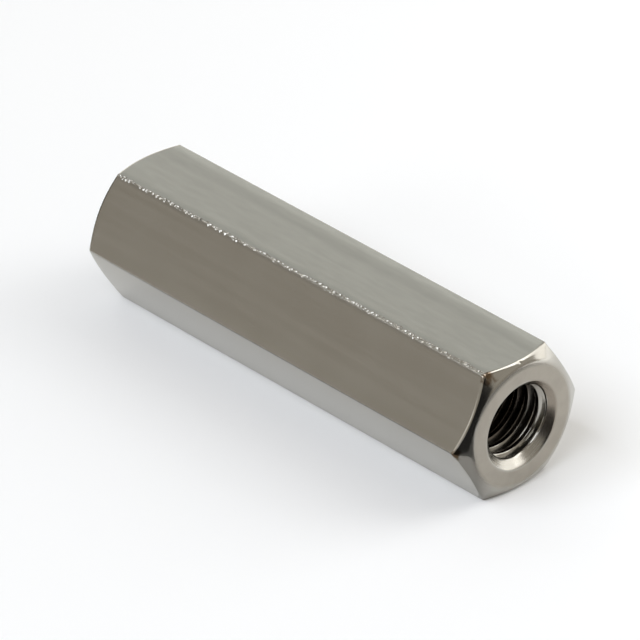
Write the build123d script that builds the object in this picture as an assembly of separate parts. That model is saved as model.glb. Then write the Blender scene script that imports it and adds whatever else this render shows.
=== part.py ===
from build123d import *
import math
import os

# A hexagonal spacer stud that lies on one flat, its bore along X and the floor at Z = 0.

# Driving dimensions, in millimetres and degrees.
across_flats = 8.0
body_length = 30.0
bore_diameter = 4.2
countersink_diameter = 5.2
countersink_angle = 90.0
end_face_diameter = 7.2
chamfer_angle = 30.0
edge_radius = 0.1
side_count = 6
cut_overrun = 1.0

# Sizes that follow from them.
axis_height = across_flats / 2
half_length = body_length / 2
bore_radius = bore_diameter / 2
countersink_radius = countersink_diameter / 2
end_face_radius = end_face_diameter / 2
corner_distance = axis_height / math.cos(math.pi / side_count)
chamfer_slope = math.tan(math.radians(chamfer_angle))
countersink_slope = math.tan(math.radians(countersink_angle / 2))
countersink_depth = (countersink_radius - bore_radius) / countersink_slope

# The turned envelope runs a little outside the corners of the bar.
envelope_radius = corner_distance + cut_overrun
envelope_chamfer = (envelope_radius - end_face_radius) * chamfer_slope

# The countersink's cone carries on past the end face.
cutter_end = half_length + cut_overrun
cutter_end_radius = countersink_radius + cut_overrun * countersink_slope
countersink_start = half_length - countersink_depth

with BuildPart() as stud:
    # Drawn bar: a flat faces down, two corners face sideways, and the long edges are slightly rounded.
    with BuildSketch(Plane.YZ.offset(-half_length)) as section:
        RegularPolygon(axis_height, side_count, major_radius=False)
        fillet(section.vertices(), edge_radius)
    extrude(amount=body_length)

    # Turned ends: one cone at each end leaves a round end face and a curved end on every flat.
    with BuildSketch(Plane.XZ):
        with BuildLine():
            Polyline(
                (-half_length, 0),
                (-half_length, end_face_radius),
                (-half_length + envelope_chamfer, envelope_radius),
                (half_length - envelope_chamfer, envelope_radius),
                (half_length, end_face_radius),
                (half_length, 0),
                close=True,
            )
        make_face()
    revolve(axis=Axis.X, mode=Mode.INTERSECT)

    # Bore drilled from end to end at the thread's inner diameter, with a countersink at each mouth.
    with BuildSketch(Plane.XZ):
        with BuildLine():
            Polyline(
                (-cutter_end, 0),
                (-cutter_end, cutter_end_radius),
                (-countersink_start, bore_radius),
                (countersink_start, bore_radius),
                (cutter_end, cutter_end_radius),
                (cutter_end, 0),
                close=True,
            )
        make_face()
    revolve(axis=Axis.X, mode=Mode.SUBTRACT)

spacer_stud = Pos(0, 0, axis_height) * stud.part

os.makedirs("parts", exist_ok=True)
export_step(spacer_stud, "parts/spacer_stud.step")
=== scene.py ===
import math
import random
from typing import NamedTuple

import bmesh
import bpy
from bpy.props import FloatProperty, FloatVectorProperty, IntProperty, PointerProperty
from mathutils import Matrix, Vector
from mathutils.kdtree import KDTree


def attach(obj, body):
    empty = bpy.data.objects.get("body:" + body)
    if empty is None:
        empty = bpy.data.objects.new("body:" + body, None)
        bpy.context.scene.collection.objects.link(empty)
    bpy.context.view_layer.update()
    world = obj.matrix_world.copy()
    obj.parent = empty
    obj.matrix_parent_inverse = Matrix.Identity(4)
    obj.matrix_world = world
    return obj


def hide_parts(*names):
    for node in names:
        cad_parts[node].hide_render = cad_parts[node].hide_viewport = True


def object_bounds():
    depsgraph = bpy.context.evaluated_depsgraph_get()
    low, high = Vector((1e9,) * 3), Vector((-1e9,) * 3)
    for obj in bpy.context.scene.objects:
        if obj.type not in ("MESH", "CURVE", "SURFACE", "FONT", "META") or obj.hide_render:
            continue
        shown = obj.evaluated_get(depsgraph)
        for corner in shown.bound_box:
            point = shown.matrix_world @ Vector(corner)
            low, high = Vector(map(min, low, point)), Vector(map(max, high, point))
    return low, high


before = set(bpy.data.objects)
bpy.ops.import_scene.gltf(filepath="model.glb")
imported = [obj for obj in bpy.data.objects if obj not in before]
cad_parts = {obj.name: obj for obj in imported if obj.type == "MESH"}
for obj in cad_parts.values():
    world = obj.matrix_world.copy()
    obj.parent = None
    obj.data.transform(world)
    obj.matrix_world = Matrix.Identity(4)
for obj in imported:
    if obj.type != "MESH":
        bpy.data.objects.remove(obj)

bl_info = {
    "name": "Hexagonal spacer stud",
    "version": (1, 0, 0),
    "blender": (4, 5, 0),
    "location": "3D View > Sidebar > Spacer stud",
    "description": "Builds a nickel-plated hexagonal spacer stud with tapped ends, and a pale stage for it",
    "category": "Add Mesh",
}

CAD_LOW, CAD_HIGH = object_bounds()
AXIS_HEIGHT = (CAD_LOW.z + CAD_HIGH.z) / 2
NODE = "spacer_stud"
PIECE = "nickel_spacer_stud"
SIDES = 6
MM = 0.001


# Settings that a user would change.

def length_setting(name, default, description):
    return FloatProperty(
        name=name, description=description, default=default, min=0.0, unit="LENGTH", precision=5
    )


def shift_setting(name, default, description):
    return FloatProperty(name=name, description=description, default=default, unit="LENGTH")


def angle_setting(name, degrees, description):
    return FloatProperty(
        name=name, description=description, default=math.radians(degrees), subtype="ANGLE"
    )


def colour_setting(name, default, description):
    return FloatVectorProperty(
        name=name, description=description, default=default, size=3, min=0.0, max=1.0, subtype="COLOR"
    )


def share_setting(name, default, description):
    return FloatProperty(
        name=name, description=description, default=default, min=0.0, max=1.0, subtype="FACTOR"
    )


class SpacerSizes(bpy.types.PropertyGroup):
    """Sizes of the hexagonal bar and its turned ends."""

    length: length_setting("Length", CAD_HIGH.x - CAD_LOW.x, "Length over both end faces")
    across_flats: length_setting("Across flats", CAD_HIGH.z - CAD_LOW.z, "Width across two flats")
    edge_radius: length_setting("Edge radius", 0.1 * MM, "Rounding of the long edges of the bar")
    end_face_diameter: length_setting("End face", 7.2 * MM, "Diameter of the flat face, near end")
    far_face_diameter: length_setting("Far face", 7.55 * MM, "Diameter of the flat face, far end")
    chamfer_angle: angle_setting("Chamfer angle", 30.0, "Slope of the chamfer from the end face")
    chamfer_break: length_setting("Chamfer break", 0.14 * MM, "Rounding between chamfer and flats")
    low_roll: length_setting("Low roll", 0.2 * MM, "Extra near rounding along the lower front flat")
    low_slope: angle_setting("Low slope", 14.0, "Extra slope of the near chamfer on that flat")
    face_roll: length_setting("Face roll", 0.22 * MM, "Near rounding into the chamfer, over the face")
    cone_roll: length_setting("Cone roll", 0.24 * MM, "Near rounding into the chamfer, over the cone")
    far_end_roll: length_setting("Far end roll", 0.1 * MM, "Rounding into the chamfer at the far end")
    countersink_diameter: length_setting("Countersink", 5.2 * MM, "Its diameter at the end face")
    rim_break: length_setting("Rim break", 0.045 * MM, "Rounding of the countersink's rim")


class SpacerThread(bpy.types.PropertyGroup):
    """Sizes of the internal thread at each end."""

    inner_diameter: length_setting("Inner diameter", 4.2 * MM, "Diameter over the crests, and of the bore")
    outer_diameter: length_setting("Outer diameter", 5.0 * MM, "Diameter at the thread's roots")
    pitch: length_setting("Pitch", 0.8 * MM, "Advance of the thread in one turn")
    depth: length_setting("Depth", 12.0 * MM, "Length of thread from each end face")


class SpacerWear(bpy.types.PropertyGroup):
    """Roll and nicks of the worn upper front edge."""

    seed: IntProperty(name="Seed", description="Start of the random row of nicks", default=7)
    near_roll: length_setting("Near roll", 1.0 * MM, "Radius of the top flat's roll to the edge, near end")
    far_roll: length_setting("Far roll", 0.15 * MM, "Radius of the top flat's roll to the edge, far end")
    roll_angle: angle_setting("Roll angle", 24.0, "Turn of that roll before the worn edge itself")
    nick_spacing: length_setting("Nick spacing", 0.08 * MM, "Mean distance between nicks")
    nick_radius: length_setting("Nick radius", 0.11 * MM, "Largest radius of a nick")
    nick_depth: length_setting("Nick depth", 0.07 * MM, "Largest depth of a nick")
    near_shrink: share_setting("Near shrink", 0.15, "Share by which nicks get smaller to the near end")
    nick_shift: length_setting("Nick shift", 0.07 * MM, "Shift of nicks onto the top flat, near end")


class SpacerFinish(bpy.types.PropertyGroup):
    """Colours and gloss of the nickel plate, with colours that paint shade deep in the bores, on one side of
    the countersinks and along the worn edge.
    """

    plate_colour: colour_setting("Plate", (0.464, 0.448, 0.405), "Colour of the nickel plate")
    worn_colour: colour_setting("Worn plate", (0.448, 0.43, 0.387), "Colour of its thinner streaks")
    # Also the colour of the painted shade along the worn edge of the top flat.
    dull_and_shade_colour: colour_setting("Handled plate", (0.36, 0.348, 0.316), "Dull marks on the top flat")
    pale_colour: colour_setting("Pale plate", (0.545, 0.528, 0.478), "Strip along the top flat's back edge")
    face_colour: colour_setting("Face", (0.396, 0.364, 0.312), "Colour of the turned end faces")
    matt_colour: colour_setting("Matt face", (0.36, 0.331, 0.283), "Duller patches on the end faces")
    # Also the colour of the painted shade on one side of each countersink.
    stain_and_shade_colour: colour_setting("Stain", (0.17, 0.118, 0.072), "Stained corners and countersink side")
    # Painted shade: the bore darkens to this colour deeper in.
    bore_shade_colour: colour_setting("Bore", (0.11, 0.092, 0.077), "Thinner plate deep inside the bore")
    flat_roughness: share_setting("Flat roughness", 0.24, "Roughness of the drawn flats")
    face_roughness: share_setting("Face roughness", 0.34, "Roughness of the turned end faces")
    chamfer_roughness: share_setting("Chamfer roughness", 0.14, "Roughness of the turned chamfers")
    bore_roughness: share_setting("Bore roughness", 0.26, "Roughness of the countersinks and threads")


class SpacerStage(bpy.types.PropertyGroup):
    """Camera, floor and light from the room."""

    azimuth: angle_setting("Azimuth", 47.1505, "Direction of the camera round the stud")
    elevation: angle_setting("Elevation", 32.1816, "Height of the camera above the horizon")
    roll: angle_setting("Roll", -0.9015, "Turn of the camera about its own view")
    distance: length_setting("Distance", 0.36575, "Distance from the camera to the stud's middle")
    lens: FloatProperty(name="Lens", description="Focal length in millimetres", default=376.69)
    aside: shift_setting("Aside", 0.467 * MM, "Shift of the camera to its left")
    below: shift_setting("Below", 0.069 * MM, "Shift of the camera down")
    floor_colour: colour_setting("Floor", (0.9, 0.906, 0.912), "Colour of the floor")
    room_colour: colour_setting("Room", (0.405, 0.375, 0.33), "Colour of the light from the room")


# Shader nodes.

class Tone:
    """A socket; arithmetic on it adds Math nodes to its tree."""

    def __init__(self, shader, socket):
        self.shader = shader
        self.socket = socket

    def math(self, operation, *values):
        return self.shader.node("ShaderNodeMath", {"operation": operation}, dict(enumerate(values)))

    def __abs__(self):
        return self.math("ABSOLUTE", self)

    def __add__(self, other):
        return self.math("ADD", self, other)

    def __radd__(self, other):
        return self.math("ADD", other, self)

    def __sub__(self, other):
        return self.math("SUBTRACT", self, other)

    def __rsub__(self, other):
        return self.math("SUBTRACT", other, self)

    def __mul__(self, other):
        return self.math("MULTIPLY", self, other)

    def __rmul__(self, other):
        return self.math("MULTIPLY", other, self)


class Shader:
    """A node tree that nodes are added to by type, settings and inputs."""

    def __init__(self, tree):
        self.tree = tree
        tree.nodes.clear()

    def node(self, kind, settings=None, inputs=None, output=0):
        made = self.tree.nodes.new(kind)
        for name, value in (settings or {}).items():
            setattr(made, name, value)
        for key, value in (inputs or {}).items():
            if isinstance(value, Tone):
                self.tree.links.new(value.socket, made.inputs[key])
            else:
                made.inputs[key].default_value = value
        return Tone(self, made.outputs[output]) if made.outputs else made

    def place(self):
        """The object's own coordinates."""
        return self.node("ShaderNodeTexCoord", output="Object")

    def axis(self, place, name):
        return self.node("ShaderNodeSeparateXYZ", None, {0: place}, output=name)

    def measure(self, operation, first, second=(0.0, 0.0, 0.0)):
        """A number worked out from one or two vectors."""
        return self.node(
            "ShaderNodeVectorMath", {"operation": operation}, {0: first, 1: second}, output="Value"
        )

    def between(self, value, low, high, start=0.0, end=1.0):
        """A value that goes from start to end as the input goes from low to high, and stops there."""
        return self.node(
            "ShaderNodeMapRange",
            {"interpolation_type": "SMOOTHSTEP"},
            {"Value": value, "From Min": low, "From Max": high, "To Min": start, "To Max": end},
        )

    def blend(self, share, first, second):
        """A colour between two colours."""
        return self.node(
            "ShaderNodeMix", {"data_type": "RGBA"}, {"Factor": share, 6: first, 7: second}, output=2
        )

    def noise(self, place, scale, detail, stretch=(1.0, 1.0, 1.0)):
        """Noise on the object's own coordinates, with a size per axis."""
        placed = self.node("ShaderNodeMapping", None, {"Vector": place, "Scale": stretch})
        return self.node("ShaderNodeTexNoise", None, {"Vector": placed, "Scale": scale, "Detail": detail})

    def bump(self, height, strength, distance):
        return self.node(
            "ShaderNodeBump", None, {"Strength": strength, "Distance": distance, "Height": height}
        )


def new_material(name):
    material = bpy.data.materials.new(name)
    material.use_nodes = True
    return material, Shader(material.node_tree)


def opaque(colour):
    return (*colour, 1.0)


def metal_output(shader, colour, roughness, normal):
    surface = shader.node(
        "ShaderNodeBsdfPrincipled",
        None,
        {"Base Color": colour, "Metallic": 1.0, "Roughness": roughness, "Normal": normal},
    )
    shader.node("ShaderNodeOutputMaterial", None, {"Surface": surface})


# Finishes. Noise scales are per metre, and a band goes from where it starts to where it is full.
NOISE_MIDDLE = 0.5
NOISE_BAND = (0.35, 0.65)
COARSE_DETAIL = 2.0
FINE_DETAIL = 3.0

DIE_LINE_SCALES = (70.0, 2600.0, 2600.0)
DIE_LINE_SHARE = 0.6
DIE_LINE_ROUGHNESS = 0.06
DIE_LINE_BUMP = (0.2, 0.0000008)
FLAT_CLOUD_SCALE = 260.0
FLAT_CLOUD_SHARE = 0.4
FLAT_CLOUD_ROUGHNESS = 0.04

TOP_BAND = (CAD_HIGH.z - 0.3 * MM, CAD_HIGH.z - 0.1 * MM)
PALE_BAND = (1.6 * MM, 2.0 * MM)
DARK_LINE_START = 0.7 * MM
DARK_LINE_MIDDLE = 1.15 * MM
DARK_LINE_END = 1.6 * MM
DARK_LINE_SHARE = 0.3
# Painted shade: a darker band along the worn edge of the top flat.
EDGE_SHADE_BAND = (-2.15 * MM, -1.65 * MM)
EDGE_SHADE_SHARE = 0.6
MARK_SCALES = (700.0, 2800.0, 2800.0)
MARK_BAND = (0.4, 0.64)
MARK_SHARE = 0.2

RING_SCALE = 14000.0
RING_SHARE = 0.5
RING_ROUGHNESS = 0.08
TURNED_BUMP = (0.3, 0.000002)
FACE_CLOUD_SCALE = 900.0
FACE_CLOUD_ROUGHNESS = 0.06
CHAMFER_BAND = (-0.18 * MM, 0.2 * MM)
RIM_BAND = (-0.05 * MM, 0.15 * MM)

# Painted shade: the countersink's darker side lies this way from the axis.
SHADED_SIDE_WAY = (0.0, 0.94, 0.34)
SHADED_SIDE_BAND = (0.9 * MM, 1.7 * MM)
SHADED_SIDE_SHARE = 0.55
# Stained corners of the near chamfer: middle and reach.
STAINS = (
    ((14.55 * MM, -2.1 * MM, 7.83 * MM), 0.6 * MM),
    ((14.45 * MM, -4.5 * MM, 3.9 * MM), 0.5 * MM),
)
STAIN_GRAIN_SCALE = 3400.0
STAIN_GRAIN = 1.6
STAIN_CORE = 0.15

CHATTER_SCALE = 2600.0
CHATTER_ROUGHNESS = 0.1
CHATTER_BUMP = (0.3, 0.000002)
BORE_CLOUD_SCALE = 700.0
BORE_CLOUD_REACH = 0.6 * MM
# Painted light and shade in the bore: it takes the plate's own colour from this far from the stud's middle
# outwards, and deeper in along the bottom of the bore, where light falls; further in it is painted dark.
MOUTH_LIGHT_BAND = (12.7 * MM, 14.4 * MM)
MOUTH_LIGHT_SLANT = 0.4
BRIGHT_SMOOTHNESS = 0.35


def drawn_nickel(finish):
    """Plate over drawn bar: die lines and faint cloudiness, and on the top flat a pale strip along the
    back edge, a dark line beside it, duller marks and a band of painted shade along the worn edge."""
    material, shader = new_material("drawn_nickel")
    place = shader.place()
    lines = shader.noise(place, 1.0, COARSE_DETAIL, DIE_LINE_SCALES)
    clouds = shader.noise(place, FLAT_CLOUD_SCALE, FINE_DETAIL)
    share = shader.between(DIE_LINE_SHARE * lines + FLAT_CLOUD_SHARE * clouds, *NOISE_BAND)
    colour = shader.blend(share, opaque(finish.worn_colour), opaque(finish.plate_colour))
    on_top = shader.between(shader.axis(place, "Z"), *TOP_BAND)
    across = shader.axis(place, "Y")
    pale = on_top * shader.between(across, *PALE_BAND)
    colour = shader.blend(pale, colour, opaque(finish.pale_colour))
    marks = shader.between(shader.noise(place, 1.0, FINE_DETAIL, MARK_SCALES), *MARK_BAND)
    line = shader.between(across, DARK_LINE_START, DARK_LINE_MIDDLE)
    line = line * shader.between(across, DARK_LINE_MIDDLE, DARK_LINE_END, 1.0, 0.0)
    # Painted shade along the worn edge, darkest at the edge.
    edge_shade = shader.between(across, *EDGE_SHADE_BAND, 1.0, 0.0)
    dull_and_shade = on_top * (MARK_SHARE * marks + DARK_LINE_SHARE * line + EDGE_SHADE_SHARE * edge_shade)
    colour = shader.blend(dull_and_shade, colour, opaque(finish.dull_and_shade_colour))
    roughness = finish.flat_roughness + DIE_LINE_ROUGHNESS * (lines - NOISE_MIDDLE)
    roughness = roughness + FLAT_CLOUD_ROUGHNESS * (clouds - NOISE_MIDDLE)
    metal_output(shader, colour, roughness, shader.bump(lines, *DIE_LINE_BUMP))
    return material


def turned_nickel(finish, sizes):
    """Plate over the turned ends: fine rings about the bore's axis, satin on the face, brighter on the
    chamfers and in the countersinks, stained brown at two corners of the near chamfer, and with painted
    shade on one side of each countersink."""
    material, shader = new_material("turned_nickel")
    place = shader.place()
    from_axis = shader.node(
        "ShaderNodeVectorMath",
        {"operation": "MULTIPLY_ADD"},
        {0: place, 1: (0.0, 1.0, 1.0), 2: (0.0, 0.0, -AXIS_HEIGHT)},
    )
    radius = shader.measure("LENGTH", from_axis)
    rings = shader.node(
        "ShaderNodeTexNoise",
        {"noise_dimensions": "1D"},
        {"W": radius, "Scale": RING_SCALE, "Detail": FINE_DETAIL},
    )
    clouds = shader.noise(place, FACE_CLOUD_SCALE, FINE_DETAIL)
    edge = sizes.end_face_diameter / 2
    rim = sizes.countersink_diameter / 2
    outside = shader.between(radius, *(edge + reach for reach in CHAMFER_BAND))
    inside = shader.between(radius, *(rim + reach for reach in RIM_BAND), 1.0, 0.0)
    share = shader.between(RING_SHARE * rings + (1 - RING_SHARE) * clouds, *NOISE_BAND)
    plate = shader.blend(share, opaque(finish.worn_colour), opaque(finish.plate_colour))
    matt = shader.between(clouds, *NOISE_BAND)
    satin = shader.blend(matt, opaque(finish.matt_colour), opaque(finish.face_colour))
    colour = shader.blend(outside + inside, satin, plate)
    stain_and_shade = opaque(finish.stain_and_shade_colour)
    # Painted shade on one side of each countersink.
    shaded_side = shader.between(shader.measure("DOT_PRODUCT", from_axis, SHADED_SIDE_WAY), *SHADED_SIDE_BAND)
    colour = shader.blend(SHADED_SIDE_SHARE * inside * shaded_side, colour, stain_and_shade)
    grain = shader.noise(place, STAIN_GRAIN_SCALE, COARSE_DETAIL) - NOISE_MIDDLE
    for middle, reach in STAINS:
        apart = shader.measure("DISTANCE", place, middle) + STAIN_GRAIN * reach * grain
        colour = shader.blend(shader.between(apart, STAIN_CORE * reach, reach, 1.0, 0.0), colour, stain_and_shade)
    roughness = finish.face_roughness + (finish.chamfer_roughness - finish.face_roughness) * outside
    roughness = roughness + (finish.bore_roughness - finish.face_roughness) * inside
    roughness = roughness + RING_ROUGHNESS * (rings - NOISE_MIDDLE)
    roughness = roughness + FACE_CLOUD_ROUGHNESS * (clouds - NOISE_MIDDLE)
    metal_output(shader, colour, roughness, shader.bump(rings, *TURNED_BUMP))
    return material


def tapped_nickel(finish):
    """Plate in the tapped bore: its own colour by the mouths, and painted shade further in, where the bore
    lies in shade.
    """
    material, shader = new_material("tapped_nickel")
    place = shader.place()
    chatter = shader.noise(place, CHATTER_SCALE, FINE_DETAIL)
    clouds = shader.noise(place, BORE_CLOUD_SCALE, COARSE_DETAIL)
    outward = abs(shader.axis(place, "X")) + BORE_CLOUD_REACH * (clouds - NOISE_MIDDLE)
    outward = outward - MOUTH_LIGHT_SLANT * (shader.axis(place, "Z") - AXIS_HEIGHT)
    # Painted shade deep in the bore, and painted light by the mouths and along the bore's lower side.
    bright = shader.between(outward, *MOUTH_LIGHT_BAND)
    colour = shader.blend(bright, opaque(finish.bore_shade_colour), opaque(finish.worn_colour))
    roughness = finish.bore_roughness * (1 - BRIGHT_SMOOTHNESS * bright)
    roughness = roughness + CHATTER_ROUGHNESS * (chatter - NOISE_MIDDLE)
    metal_output(shader, colour, roughness, shader.bump(chatter, *CHATTER_BUMP))
    return material


# Mesh of the stud.

DRAWN, TURNED, TAPPED = range(3)
SECTION_LAYERS = ("section_y", "section_z")

# Columns and rings of the bar.
LENGTH_STEPS = 860
PLAIN_ARC_STEPS = 4
NICKED_ARC_STEPS = 7
ROLL_STEPS = 7
WORN_CORNER = 2
TOP_SIDE = 1
EDGE_STEPS = (0.035 * MM, 0.08 * MM, 0.14 * MM, 0.22 * MM)
KNOCK_SHARES = (-0.8, -0.35, 0.0, 0.35, 0.8)

# Rings of the turned ends.
CAP_STEP = 0.3 * MM
BREAK_STEPS = 5
CONE_SHARES = (0.15, 0.5, 0.85)
ROUND_STEPS = 6
FACE_SHARES = (0.35, 0.7, 0.95)
RIM_DIP = 0.3
CONE_START = 0.12 * MM
OUTER_SHARE = 0.9
# The near chamfer is steepest at this turn about the axis, and plain from this far either side of it.
LOW_MIDDLE = math.radians(208.0)
LOW_SPAN = math.radians(25.0)

# Thread.
TURN_STEPS = 56
FLANK_ANGLE = math.radians(30.0)
FLANK_SHARES = (0.15, 0.5, 0.85)
ROOTS_PER_PITCH = 8
ROOT_SHARES = (0.2, 0.8)
CREST_SOFTNESS = 0.02 * MM
CREST_DIP = 0.4
MOUTH_DEPTH = 0.15 * MM
MOUTH_FADE = 0.5 * MM
SPARE_TURNS = 2
RUN_OUT_START = 0.2
RUN_OUT_TURNS = 1.3

# Distances under which places count as the same.
MERGE_DISTANCE = 0.0000004
CONE_TOLERANCE = 0.002 * MM
RING_TOLERANCE = 0.000002

# Nicks of the worn edge.
NICK_END_GAP = 0.5 * MM
NICK_INSET = 0.14
NICK_SIZES = (0.6, 1.0)
NICK_SIZE_POWER = 1.5
NICK_SPREAD = 0.04 * MM
NICK_LEANS = (-0.4, 0.4)
NICK_DEPTHS = (0.7, 1.0)
NICK_STRETCHES = (1.0, 1.7)
# Knocks on the top flat's near end: y, distance in from the end face, distance under the flat, radius
# and depth.
KNOCKS = (
    (0.0, 0.17 * MM, 0.07 * MM, 0.14 * MM, 0.03 * MM),
    (1.75 * MM, 0.35 * MM, 0.03 * MM, 0.12 * MM, 0.03 * MM),
)


def only(kind, geometry):
    return [item for item in geometry if isinstance(item, kind)]


def corner_places(sizes, wear, roll_radius, corner):
    """Places over one long edge in order, and how far the edge's rounding reaches along both flats.
    The worn edge starts with a gentle roll of the top flat."""
    whole = 2 * math.pi / SIDES
    bends = [(sizes.edge_radius, whole, PLAIN_ARC_STEPS)]
    if corner == WORN_CORNER:
        bends = [
            (roll_radius, wear.roll_angle, ROLL_STEPS),
            (sizes.edge_radius, whole - wear.roll_angle, NICKED_ARC_STEPS),
        ]
    turned = 0.0
    fall = 0.0
    for radius, angle, _ in bends:
        fall += radius * (math.cos(whole - turned - angle) - math.cos(whole - turned))
        turned += angle
    before = fall / math.sin(whole)
    sharp = Vector((math.cos(whole * corner), math.sin(whole * corner)))
    sharp *= sizes.across_flats / 2 / math.cos(whole / 2)
    heading = whole * corner + math.pi / 2 - whole / 2
    place = sharp - Vector((math.cos(heading), math.sin(heading))) * before
    places = [place]
    for radius, angle, steps in bends:
        for _ in range(steps):
            chord = 2 * radius * math.sin(angle / steps / 2)
            heading += angle / steps / 2
            place = place + Vector((math.cos(heading), math.sin(heading))) * chord
            heading += angle / steps / 2
            places.append(place)
    return places, before, (place - sharp).length


def section_places(sizes, wear, roll_radius):
    """Places round the hexagon, anticlockwise from the +Y corner, as (y, z) about the bore's axis.
    Columns lie close together at the worn edge, and at the knocks on the top flat's near end."""
    side_length = sizes.across_flats * math.tan(math.pi / SIDES)
    corners = [corner_places(sizes, wear, roll_radius, corner) for corner in range(SIDES)]
    places = []
    for side in range(SIDES):
        over, _, start = corners[side]
        following = (side + 1) % SIDES
        end = side_length - corners[following][1]
        places += over
        stops = set()
        if side == WORN_CORNER:
            stops |= {start + step for step in EDGE_STEPS}
        if following == WORN_CORNER:
            stops |= {end - step for step in EDGE_STEPS}
        if side == TOP_SIDE:
            for knock_y, _, _, radius, _ in KNOCKS:
                middle = side_length / 2 - knock_y
                stops |= {middle + radius * share for share in KNOCK_SHARES}
        direction = (corners[following][0][0] - over[-1]).normalized()
        places += [over[-1] + direction * (stop - start) for stop in sorted(stops)]
    return places


def end_profile(sizes, face_diameter, low_roll, low_slope, cone_roll, face_roll):
    """Steps of one end from the flats to the countersink, as functions of a column's distance from the axis
    and of how far it lies on the lower front flat. Each gives (x, distance from the axis)."""
    half_length = sizes.length / 2
    face_radius = face_diameter / 2
    cone_end = face_radius + cone_roll
    face_end = face_radius - face_roll
    rim = sizes.countersink_diameter / 2
    rim_break = sizes.rim_break
    inner = rim + rim_break
    along = sizes.chamfer_break * math.sin(sizes.chamfer_angle)
    inward = sizes.chamfer_break * math.cos(sizes.chamfer_angle)

    def slope(low):
        return math.tan(sizes.chamfer_angle + low_slope * low)

    def on_cone(radius, low):
        return half_length - (radius - face_radius) * slope(low)

    def break_step(share):
        rest = 1 - share

        def step(column, low):
            back = sizes.chamfer_break + low_roll * low
            x = on_cone(column, low) - rest * rest * back + share * share * along
            return x, column - share * share * inward

        return step

    def cone_step(share):
        def step(column, low):
            start = column - inward
            radius = start + (cone_end - start) * share
            return on_cone(radius, low), radius

        return step

    def round_step(share):
        rest = 1 - share
        radius = rest * rest * cone_end + 2 * rest * share * face_radius + share * share * face_end
        drop = rest * rest * cone_roll
        return lambda column, low: (half_length - drop * slope(low), radius)

    def face_step(radius, drop=0.0):
        return lambda column, low: (half_length - drop, radius)

    steps = [break_step(step / BREAK_STEPS) for step in range(BREAK_STEPS + 1)]
    steps += [cone_step(share) for share in CONE_SHARES]
    steps += [round_step(step / ROUND_STEPS) for step in range(ROUND_STEPS + 1)]
    steps += [face_step(face_end + (inner - face_end) * share) for share in FACE_SHARES]
    steps += [face_step(inner), face_step(rim, RIM_DIP * rim_break), face_step(rim - rim_break, rim_break)]
    steps.append(face_step(rim - CONE_START, CONE_START))
    return steps


def ring_place(vert, step, side, layers, axis_height):
    """Where a vertex of an end ring lies, from its place in the hexagonal section."""
    across = Vector((vert[layers[0]], vert[layers[1]]))
    turn = math.atan2(across.y, across.x) % (2 * math.pi)
    low = max(1 - ((turn - LOW_MIDDLE) / LOW_SPAN) ** 2, 0.0)
    x, radius = step(across.length, low)
    across = across.normalized() * radius
    return Vector((side * x, across.x, across.y + axis_height))


def turned_shell(bm, sizes, wear):
    """The bar's flats and both turned ends, open inside the countersink rims."""
    axis_height = sizes.across_flats / 2
    near_section = section_places(sizes, wear, wear.near_roll)
    far_section = section_places(sizes, wear, wear.far_roll)
    profiles = {
        1: end_profile(
            sizes, sizes.end_face_diameter, sizes.low_roll, sizes.low_slope, sizes.cone_roll, sizes.face_roll
        ),
        -1: end_profile(sizes, sizes.far_face_diameter, 0.0, 0.0, sizes.far_end_roll, sizes.far_end_roll),
    }
    layers = [bm.verts.layers.float[name] for name in SECTION_LAYERS]

    start = bmesh.ops.create_circle(bm, segments=len(near_section), radius=axis_height)["verts"]
    near_ring = list({edge for vert in start for edge in vert.link_edges})
    made = bmesh.ops.extrude_edge_only(bm, edges=near_ring)["geom"]
    for face in only(bmesh.types.BMFace, made):
        face.material_index = DRAWN
    far_verts = set(only(bmesh.types.BMVert, made))
    long_edges = []
    for vert, near_place, far_place in zip(start, near_section, far_section):
        edge = next(edge for edge in vert.link_edges if edge.other_vert(vert) in far_verts)
        long_edges.append(edge)
        for end, place, side in ((vert, near_place, 1), (edge.other_vert(vert), far_place, -1)):
            end[layers[0]], end[layers[1]] = place
            end.co = ring_place(end, profiles[side][0], side, layers, axis_height)
    bmesh.ops.subdivide_edges(bm, edges=long_edges, cuts=LENGTH_STEPS - 1, use_grid_fill=True)

    def is_outer(vert):
        return math.hypot(vert.co.y, vert.co.z - axis_height) > OUTER_SHARE * axis_height

    def open_ring(side):
        edges = [e for e in bm.edges if len(e.link_faces) == 1 and e.verts[0].co.x * side > 0]
        return [e for e in edges if is_outer(e.verts[0])]

    for side in (1, -1):
        pieces = {e: round(e.calc_length() / CAP_STEP) for e in open_ring(side)}
        for count in sorted(set(pieces.values()) - {0, 1}):
            wide = [e for e in pieces if pieces[e] == count]
            bmesh.ops.subdivide_edges(bm, edges=wide, cuts=count - 1)
            pieces = {e: round(e.calc_length() / CAP_STEP) for e in open_ring(side)}
        ring = open_ring(side)
        for vert in {v for e in ring for v in e.verts}:
            vert[layers[0]], vert[layers[1]] = vert.co.y, vert.co.z - axis_height
            vert.co = ring_place(vert, profiles[side][0], side, layers, axis_height)
        for step in profiles[side][1:]:
            made = bmesh.ops.extrude_edge_only(bm, edges=ring)["geom"]
            moved = set(only(bmesh.types.BMVert, made))
            for vert in moved:
                vert.co = ring_place(vert, step, side, layers, axis_height)
            for face in only(bmesh.types.BMFace, made):
                face.material_index = TURNED
            ring = [e for e in only(bmesh.types.BMEdge, made) if all(v in moved for v in e.verts)]


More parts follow.
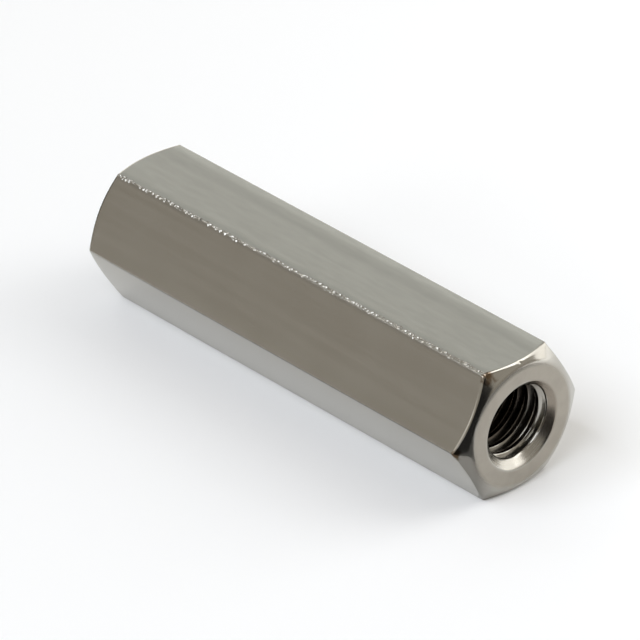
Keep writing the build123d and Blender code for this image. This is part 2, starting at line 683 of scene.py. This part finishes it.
def thread_profile(thread):
    """One pitch of the thread as (x, distance from the axis): crest, flank, root and flank."""
    inner = thread.inner_diameter / 2
    outer = thread.outer_diameter / 2
    flank = (outer - inner) * math.tan(FLANK_ANGLE)
    root = thread.pitch / ROOTS_PER_PITCH
    crest = thread.pitch - 2 * flank - root
    front = crest / 2
    back = front + flank + root
    dip = CREST_DIP * CREST_SOFTNESS
    points = [(0.0, inner), (front - CREST_SOFTNESS, inner), (front + dip, inner + dip)]
    for share in FLANK_SHARES:
        points.append((front + flank * share, inner + (outer - inner) * share))
    for share in ROOT_SHARES:
        points.append((front + flank + share * root, outer))
    for share in reversed(FLANK_SHARES):
        points.append((back + flank * (1 - share), inner + (outer - inner) * share))
    points.append((back + flank - dip, inner + dip))
    points.append((back + flank + CREST_SOFTNESS, inner))
    points.append((thread.pitch, inner))
    return points


def tapped_bore(bm, sizes, thread):
    """The countersink cone and thread of the near end, wound from its deep end outwards."""
    axis_height = sizes.across_flats / 2
    half_length = sizes.length / 2
    rim = sizes.countersink_diameter / 2
    inner = thread.inner_diameter / 2
    mouth = half_length - MOUTH_DEPTH
    deep = half_length - thread.depth
    start = deep - thread.pitch
    turns = math.ceil((mouth - deep) / thread.pitch) + SPARE_TURNS
    verts = [bm.verts.new((start + x, 0.0, axis_height + radius)) for x, radius in thread_profile(thread)]
    edges = [bm.edges.new(pair) for pair in zip(verts, verts[1:])]
    bmesh.ops.spin(
        bm,
        geom=verts + edges,
        cent=(0.0, 0.0, axis_height),
        axis=(1.0, 0.0, 0.0),
        dvec=(thread.pitch / TURN_STEPS, 0.0, 0.0),
        angle=2 * math.pi,
        steps=TURN_STEPS,
        use_merge=False,
    )
    first_turn = list(bm.verts) + list(bm.edges) + list(bm.faces)
    for turn in range(1, turns):
        copied = bmesh.ops.duplicate(bm, geom=first_turn)["geom"]
        moved = only(bmesh.types.BMVert, copied)
        bmesh.ops.translate(bm, verts=moved, vec=(thread.pitch * turn, 0.0, 0.0))
    full_from = deep + RUN_OUT_START * thread.pitch
    run_out = RUN_OUT_TURNS * thread.pitch
    for vert in bm.verts:
        across = Vector((vert.co.y, vert.co.z - axis_height))
        x = max(min(vert.co.x, mouth), deep)
        full = min(max((x - full_from) / run_out, 0.0), 1.0)
        full = full * full * (3 - 2 * full)
        mouthward = min(max((mouth - x) / MOUTH_FADE, 0.0), 1.0)
        radius = inner + (across.length - inner) * full * mouthward
        cone = rim - (half_length - x)
        across = across.normalized() * max(radius, cone)
        vert.co = (x, across.x, across.y + axis_height)
    bmesh.ops.remove_doubles(bm, verts=list(bm.verts), dist=MERGE_DISTANCE)

    def on_cone(vert):
        radius = math.hypot(vert.co.y, vert.co.z - axis_height)
        return abs(radius - rim + half_length - vert.co.x) < CONE_TOLERANCE

    for face in bm.faces:
        face.material_index = TURNED if all(on_cone(v) for v in face.verts) else TAPPED


def join_rings(bm, first_x, second_x, material):
    """Closes the gap between the open rings at two places along the axis."""
    def lies_at(edge, x):
        return all(abs(v.co.x - x) < RING_TOLERANCE for v in edge.verts)

    open_edges = [e for e in bm.edges if len(e.link_faces) == 1]
    ends = [e for e in open_edges if lies_at(e, first_x) or lies_at(e, second_x)]
    for face in bmesh.ops.bridge_loops(bm, edges=ends)["faces"]:
        face.material_index = material


def nick_edges(bm, sizes, wear):
    """Presses knocks into the top flat's near end, and a row of small nicks into the worn edge."""
    rng = random.Random(wear.seed)
    axis_height = sizes.across_flats / 2
    corner_distance = axis_height / math.cos(math.pi / SIDES) - NICK_INSET * sizes.edge_radius
    verts = list(bm.verts)
    tree = KDTree(len(verts))
    for index, vert in enumerate(verts):
        tree.insert(vert.co, index)
    tree.balance()

    def press(centre, inward, radius, depth, stretch):
        for place, index, _ in tree.find_range(centre, radius * stretch):
            apart = place - centre
            apart.x /= stretch
            share = apart.length / radius
            if share < 1.0:
                verts[index].co += inward * (depth * (1 - share * share) ** 2)

    inward = -Vector((math.cos(sizes.chamfer_angle), 0.0, math.sin(sizes.chamfer_angle)))
    for y, from_end, under, radius, depth in KNOCKS:
        centre = Vector((sizes.length / 2 - from_end, y, sizes.across_flats - under))
        press(centre, inward, radius, depth, 1.0)

    turn = 2 * math.pi / SIDES * WORN_CORNER
    out = Vector((0.0, math.cos(turn), math.sin(turn)))
    aside = Vector((0.0, -math.sin(turn), math.cos(turn)))
    reach = sizes.length / 2 - NICK_END_GAP
    x = -reach
    while x < reach:
        nearness = (x + reach) / (2 * reach)
        size = rng.uniform(*NICK_SIZES) ** NICK_SIZE_POWER * (1 - wear.near_shrink * nearness)
        centre = out * corner_distance + Vector((x, 0.0, axis_height))
        centre += aside * rng.gauss(-wear.nick_shift * nearness, NICK_SPREAD)
        centre = tree.find(centre)[0]
        inward = -out + aside * rng.uniform(*NICK_LEANS)
        depth = wear.nick_depth * size * rng.uniform(*NICK_DEPTHS)
        press(centre, inward.normalized(), wear.nick_radius * size, depth, rng.uniform(*NICK_STRETCHES))
        x += rng.expovariate(1.0 / wear.nick_spacing)


def build_stud(sizes, thread, wear, finish):
    bm = bmesh.new()
    for name in SECTION_LAYERS:
        bm.verts.layers.float.new(name)
    half_length = sizes.length / 2
    mouth = half_length - MOUTH_DEPTH
    deep = half_length - thread.depth
    rim = half_length - CONE_START
    tapped_bore(bm, sizes, thread)
    copied = bmesh.ops.duplicate(bm, geom=list(bm.verts) + list(bm.edges) + list(bm.faces))["geom"]
    far_bore = only(bmesh.types.BMVert, copied)
    bmesh.ops.rotate(bm, verts=far_bore, cent=(0.0, 0.0, 0.0), matrix=Matrix.Rotation(math.pi, 3, "Z"))
    turned_shell(bm, sizes, wear)
    nick_edges(bm, sizes, wear)
    join_rings(bm, rim, mouth, TURNED)
    join_rings(bm, -rim, -mouth, TURNED)
    join_rings(bm, deep, -deep, TAPPED)
    bmesh.ops.recalc_face_normals(bm, faces=list(bm.faces))
    for face in bm.faces:
        face.smooth = True
    open_edges = [e for e in bm.edges if len(e.link_faces) != 2]
    if open_edges:
        raise RuntimeError(f"the stud's skin has {len(open_edges)} open edges")
    mesh = bpy.data.meshes.new(PIECE)
    bm.to_mesh(mesh)
    bm.free()
    for material in (drawn_nickel(finish), turned_nickel(finish, sizes), tapped_nickel(finish)):
        mesh.materials.append(material)
    stud = bpy.data.objects.new(PIECE, mesh)
    bpy.context.scene.collection.objects.link(stud)
    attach(stud, "root")
    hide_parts(NODE)


# Stage.

SENSOR_WIDTH = 36.0
CLIP_START = 0.01
CLIP_END = 10.0
FLOOR_RADIUS = 0.8
FLOOR_SEGMENTS = 64
FLOOR_DROP = 0.00002

WHITE = (1.0, 1.0, 1.0)
STUD_MIDDLE = (0.0, 0.0, 0.004)


class Lamp(NamedTuple):
    """A rectangular lamp: where it is, its width and height, and how bright its face is."""

    place: tuple
    size: tuple
    brightness: float
    colour: tuple = WHITE
    aim: tuple = STUD_MIDDLE
    lights_floor: bool = True
    reflected: bool = True


LAMPS = {
    "top_lamp": Lamp((0.02, -0.05, 0.7), (0.19, 0.19), 4.0, lights_floor=False),
    "strip_lamp": Lamp((-0.12, -0.6, 0.25), (0.3, 0.2), 3.1, reflected=False),
    "top_back_lamp": Lamp((0.16, 0.43, 0.58), (0.45, 0.3), 1.4, reflected=False),
    "rim_lamp": Lamp((0.163, 0.38, 0.61), (0.45, 0.4), 2.4, lights_floor=False),
    "front_lamp": Lamp((-0.02, -0.437, 0.545), (0.7, 0.36), 3.75, (0.94, 1.0, 1.1)),
    "low_front_lamp": Lamp((-0.0945, -0.6725, 0.1693), (0.25, 0.2), 1.0),
    "back_lamp": Lamp((-0.43, 0.40, 0.37), (0.6, 0.6), 0.37, (0.86, 1.0, 1.07)),
    "low_right_lamp": Lamp((0.2765, 0.7597, 0.2627), (0.55, 0.585), 1.5, lights_floor=False),
    "right_lamp": Lamp((0.4438, 0.4596, 0.4814), (0.25, 0.25), 1.5),
    "side_lamp": Lamp((0.6934, 0.3233, 0.2339), (0.71, 0.25), 0.09, (1.0, 1.0, 0.95)),
    "edge_lamp": Lamp((-0.4388, 0.0383, 0.544), (0.07, 0.12), 3.5),
    "low_back_lamp": Lamp((-0.6, 0.42, 0.07), (0.3, 0.24), 1.5, (1.0, 0.98, 0.92)),
    "floor_lamp": Lamp((0.08, 0.17, 0.08), (0.1, 0.2), 3.0, aim=(0.08, 0.17, 0.0), reflected=False),
}

# Cards that only reflections show: grey level, and corners as (x, y) on the floor or (x, y, z) above it.
DARK_CARD = 0.025
DUSK_CARD = 0.11
GREY_CARD = 0.3
PALE_CARD = 0.43
CARDS = {
    "near_card": (DARK_CARD, ((0.0185, -0.045), (0.03, -0.045), (0.03, -0.0032), (0.0185, -0.0062))),
    "mouth_card": (DUSK_CARD, ((0.0185, -0.0062), (0.03, -0.0032), (0.023, -0.002), (0.0186, -0.002))),
    "distant_card": (DARK_CARD, ((0.03, -0.045), (0.055, -0.045), (0.055, -0.0006), (0.03, -0.0006))),
    "upright_card": (
        DARK_CARD,
        ((0.055, -0.045, 0.0), (0.055, 0.0027, 0.0), (0.055, 0.0027, 0.024), (0.055, -0.045, 0.024)),
    ),
    # Painted shade in reflections: a grey card for the floor in shade by the near end's bottom, fading into
    # the floor colour.
    "contact_shade_card": (PALE_CARD, ((0.014, -0.012), (0.0185, -0.012), (0.0185, -0.001), (0.014, -0.001))),
    "right_card": (GREY_CARD, ((0.031, -0.0006), (0.6, -0.0006), (0.6, 0.4), (0.031, 0.022))),
    "front_card": (GREY_CARD, ((-0.0185, -0.03), (0.014, -0.03), (0.014, -0.0056), (-0.0185, -0.0056))),
    "far_floor_card": (DARK_CARD, ((-0.055, -0.009), (-0.032, -0.009), (-0.032, 0.002), (-0.055, 0.002))),
    "far_card": (
        DARK_CARD,
        ((-0.055, -0.024, 0.0), (-0.055, 0.002, 0.0), (-0.055, 0.002, 0.012), (-0.055, -0.024, 0.012)),
    ),
}
CARD_LIFT = 0.00005
# Cards that fade into the floor, and where along y they do.
FADES = {"contact_shade_card": (-0.0034, -0.0011)}


def place_camera(stage):
    turn = stage.azimuth
    height = stage.elevation
    back = Vector((
        math.sin(turn) * math.cos(height),
        -math.cos(turn) * math.cos(height),
        math.sin(height),
    ))
    level = Vector((math.cos(turn), math.sin(turn), 0.0))
    upright = back.cross(level)
    right = level * math.cos(stage.roll) + upright * math.sin(stage.roll)
    up = upright * math.cos(stage.roll) - level * math.sin(stage.roll)
    middle = (CAD_LOW + CAD_HIGH) / 2
    data = bpy.data.cameras.new("camera")
    data.sensor_width = SENSOR_WIDTH
    data.lens = stage.lens
    data.clip_start = CLIP_START
    data.clip_end = CLIP_END
    camera = bpy.data.objects.new("camera", data)
    bpy.context.scene.collection.objects.link(camera)
    place = middle + back * stage.distance - right * stage.aside - up * stage.below
    camera.matrix_world = Matrix.Translation(place) @ Matrix((right, up, back)).transposed().to_4x4()
    bpy.context.scene.camera = camera


def hang_lamp(name, plan):
    width, height = plan.size
    data = bpy.data.lights.new(name, "AREA")
    data.shape = "RECTANGLE"
    data.size = width
    data.size_y = height
    data.energy = plan.brightness * math.pi * width * height
    data.color = plan.colour
    lamp = bpy.data.objects.new(name, data)
    bpy.context.scene.collection.objects.link(lamp)
    lamp.location = plan.place
    lamp.rotation_euler = (Vector(plan.aim) - Vector(plan.place)).to_track_quat("-Z", "Y").to_euler()
    lamp.visible_diffuse = plan.lights_floor
    lamp.visible_glossy = plan.reflected


def plain_object(name, bm, colour_of):
    """A stage object from a mesh, in a plain material whose colour comes from its shader."""
    mesh = bpy.data.meshes.new(name)
    bm.to_mesh(mesh)
    bm.free()
    material, shader = new_material(name)
    surface = shader.node("ShaderNodeBsdfDiffuse", None, {"Color": colour_of(shader)})
    shader.node("ShaderNodeOutputMaterial", None, {"Surface": surface})
    mesh.materials.append(material)
    made = bpy.data.objects.new(name, mesh)
    bpy.context.scene.collection.objects.link(made)
    return made


def lay_floor(stage):
    bm = bmesh.new()
    bmesh.ops.create_circle(bm, cap_ends=True, segments=FLOOR_SEGMENTS, radius=FLOOR_RADIUS)
    bmesh.ops.translate(bm, verts=bm.verts, vec=(0.0, 0.0, -FLOOR_DROP))
    floor = plain_object("pale_floor", bm, lambda shader: opaque(stage.floor_colour))


def stand_card(name, level, corners, stage):
    """A dark or grey card, on the floor or upright, that only reflections show."""
    bm = bmesh.new()
    verts = [bm.verts.new(corner if len(corner) == 3 else (*corner, CARD_LIFT)) for corner in corners]
    bmesh.ops.contextual_create(bm, geom=verts)
    grey = opaque((level, level, level))

    def colour_of(shader):
        if name not in FADES:
            return grey
        faded = shader.between(shader.axis(shader.place(), "Y"), *FADES[name])
        return shader.blend(faded, grey, opaque(stage.floor_colour))

    card = plain_object(name, bm, colour_of)
    card.visible_camera = False
    card.visible_diffuse = False
    card.visible_shadow = False


def build_stage(stage):
    scene = bpy.context.scene
    scene.view_settings.view_transform = "Standard"
    place_camera(stage)
    lay_floor(stage)
    world = bpy.data.worlds.new("room")
    world.use_nodes = True
    scene.world = world
    shader = Shader(world.node_tree)
    light = shader.node("ShaderNodeBackground", None, {"Color": opaque(stage.room_colour), "Strength": 1.0})
    shader.node("ShaderNodeOutputWorld", None, {"Surface": light})
    for name, plan in LAMPS.items():
        hang_lamp(name, plan)
    for name, (level, corners) in CARDS.items():
        stand_card(name, level, corners, stage)


# Operators.

class SPACER_OT_stud(bpy.types.Operator):
    """Build the nickel-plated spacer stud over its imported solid"""

    bl_idname = "spacer.stud"
    bl_label = "Spacer stud"

    def execute(self, context):
        scene = context.scene
        build_stud(scene.spacer_sizes, scene.spacer_thread, scene.spacer_wear, scene.spacer_finish)
        return {"FINISHED"}


class SPACER_OT_stage(bpy.types.Operator):
    """Build the camera, floor, lamps and cards"""

    bl_idname = "spacer.stage"
    bl_label = "Stage"

    def execute(self, context):
        build_stage(context.scene.spacer_stage)
        return {"FINISHED"}


class SPACER_PT_panel(bpy.types.Panel):
    """Lists the stud's builders and settings"""

    bl_idname = "SPACER_PT_panel"
    bl_label = "Spacer stud"
    bl_space_type = "VIEW_3D"
    bl_region_type = "UI"
    bl_category = "Spacer stud"

    def draw(self, context):
        layout = self.layout
        layout.operator(SPACER_OT_stud.bl_idname)
        layout.operator(SPACER_OT_stage.bl_idname)
        for name in GROUPS:
            box = layout.box()
            settings = getattr(context.scene, name)
            for key in settings.__annotations__:
                box.prop(settings, key)


GROUPS = {
    "spacer_sizes": SpacerSizes,
    "spacer_thread": SpacerThread,
    "spacer_wear": SpacerWear,
    "spacer_finish": SpacerFinish,
    "spacer_stage": SpacerStage,
}
CLASSES = (*GROUPS.values(), SPACER_OT_stud, SPACER_OT_stage, SPACER_PT_panel)


def register():
    for cls in CLASSES:
        bpy.utils.register_class(cls)
    for name, group in GROUPS.items():
        setattr(bpy.types.Scene, name, PointerProperty(type=group))


def unregister():
    for name in GROUPS:
        delattr(bpy.types.Scene, name)
    for cls in reversed(CLASSES):
        bpy.utils.unregister_class(cls)


def main():
    register()
    bpy.ops.spacer.stud()
    bpy.ops.spacer.stage()


if __name__ == "__main__":
    main()
